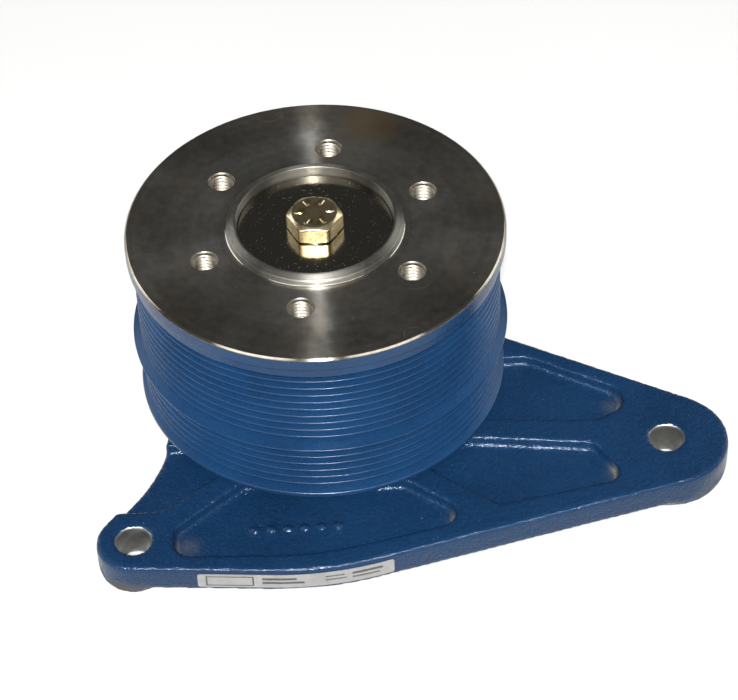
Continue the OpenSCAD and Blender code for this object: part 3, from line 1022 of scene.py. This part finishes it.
def labelPath():
    # Top view of the outer side of the CAD label, from left to right
    mesh = nodes["blank_label"].data
    points = set()
    for face in mesh.polygons:
        if face.normal.y < -0.5 and abs(face.normal.z) < 0.1:
            for i in face.vertices:
                co = mesh.vertices[i].co
                points.add((round(co.x, 6), round(co.y, 6)))
    return np.array(sorted(points))


def printedInk(u, v, length):
    # How much ink lies at each point of the label, from 0 to 1
    ink = np.zeros(u.shape)
    half, soft = labelSet["ink"] / 2, labelSet["inkSoft"]
    scale = length / labelSet["drawnLength"]
    for left, right, low, high in labelSet["frames"]:
        inside = np.minimum(np.minimum(u - left * scale, right * scale - u), np.minimum(v - low, high - v))
        ink = np.maximum(ink, np.clip((half - np.abs(inside)) / soft + 0.5, 0, 1))
    for left, right, height, wide in labelSet["rules"]:
        inside = np.minimum(np.minimum(u - left * scale, right * scale - u), wide / 2 - np.abs(v - height))
        ink = np.maximum(ink, labelSet["ruleShade"] * np.clip(inside / soft + 0.5, 0, 1))
    return ink


def buildLabel():
    path = labelPath()
    steps = np.hypot(*np.diff(path, axis=0).T)
    along = np.r_[0, np.cumsum(steps)] / mm
    length = along[-1]
    low, high = (corner.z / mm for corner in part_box("blank_label"))
    u = np.linspace(0, length, int(length / labelSet["step"]))
    rows = int((high - low) / labelSet["step"])
    corner = labelSet["corner"]
    fromEnd = np.clip(corner - np.minimum(u, length - u), 0, corner)
    trim = corner - np.sqrt(corner ** 2 - fromEnd ** 2)
    share = np.linspace(0, 1, rows)
    v = trim[:, None] + (high - low - 2 * trim)[:, None] * share
    uu = np.repeat(u[:, None], rows, 1)
    x = np.interp(u, along, path[:, 0] / mm)
    y = np.interp(u, along, path[:, 1] / mm)
    turn = np.arctan2(np.gradient(y), np.gradient(x))
    span = labelSet["turnSpan"]
    window = np.ones(2 * span + 1) / (2 * span + 1)
    turn = np.convolve(np.pad(turn, span, "edge"), window, "valid")
    wrinkle = 0.5 + 0.25 * np.sin(uu * 0.9 + 2.0 * np.sin(v * 0.8)) + 0.25 * np.sin(uu * 2.3 - v * 1.7)
    # Inwards from the outer side is to the left of the way along
    inX, inY = -np.sin(turn)[:, None], np.cos(turn)[:, None]
    layers = []
    for inset in (labelSet["wrinkle"] * wrinkle, np.full(v.shape, labelSet["thick"])):
        layer = np.stack([x[:, None] + inX * inset, y[:, None] + inY * inset, low + v], 2)
        layers.append(layer.reshape(-1, 3))
    count = len(u) * rows
    verts = np.concatenate(layers) * mm
    faces = []
    for i in range(len(u) - 1):
        for j in range(rows - 1):
            a = i * rows + j
            b = a + rows
            c, d = b + 1, a + 1
            faces.append((a, b, c, d))
            faces.append((count + d, count + c, count + b, count + a))
    rim = [i * rows for i in range(len(u))] + [(len(u) - 1) * rows + j for j in range(1, rows)]
    rim += [i * rows + rows - 1 for i in range(len(u) - 2, -1, -1)] + [j for j in range(rows - 2, 0, -1)]
    for k, a in enumerate(rim):
        b = rim[(k + 1) % len(rim)]
        faces.append((a, count + a, count + b, b))
    mesh = bpy.data.meshes.new("blankLabel")
    mesh.from_pydata([tuple(p) for p in verts], [], faces)
    setAttribute(mesh, "frameLine", np.r_[printedInk(uu, v, length).ravel(), np.zeros(count)])
    piece = meshPiece("blankLabel", mesh, [labelFoil])
    mesh.set_sharp_from_angle(angle=math.radians(labelSet["sharpAngle"]))
    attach(piece, "bracket")
    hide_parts("blank_label")
    print("label length in mm:", round(float(length), 1))


buildLabel()
print("label laid on")

# The CAD nodes that keep their own shape

nodeFinish = {
    "spindle": groundSteel, "spindle_dowel": groundSteel, "grease_slinger": boredSteel,
    "end_plate": darkPlate, "bearing_spacer": boredSteel,
    "rear_seal": sealRubber, "retaining_ring": springSteel,
    "front_inner_ring": groundSteel, "front_outer_ring": groundSteel,
    "front_cage": cageBrass, "front_balls": ballSteel,
    "front_shield_upper": sealRubber, "front_shield_lower": sealRubber,
    "rear_inner_ring": groundSteel, "rear_outer_ring": groundSteel,
    "rear_cage": cageBrass, "rear_balls": ballSteel,
    "rear_shield_upper": sealRubber, "rear_shield_lower": sealRubber,
}
for nodeName, finish in nodeFinish.items():
    slots = nodes[nodeName].material_slots
    if not slots:
        nodes[nodeName].data.materials.append(finish)
    for slot in slots:
        slot.material = finish
print("inner parts finished")


def makeFloor():
    material, tree, shader = newMaterial("floorPaper", Roughness=0.9)
    grain = put(tree, "TexNoise", {"Scale": 30.0, "Detail": 4.0}).outputs[0]
    color = blendColor(tree, grain, (0.43, 0.43, 0.427), (0.455, 0.455, 0.452))
    finishShader(tree, shader, Base_Color=color)
    half = 3000 * mm
    corners = [(-half, -half, 0), (half, -half, 0), (half, half, 0), (-half, half, 0)]
    mesh = bpy.data.meshes.new("floor")
    mesh.from_pydata(corners, [], [(0, 1, 2, 3)])
    floor = meshPiece("floor", mesh, [material])
    gap = 0.02 * mm
    floor.location.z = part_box("bracket")[0].z - gap


makeFloor()

print("scene ready")
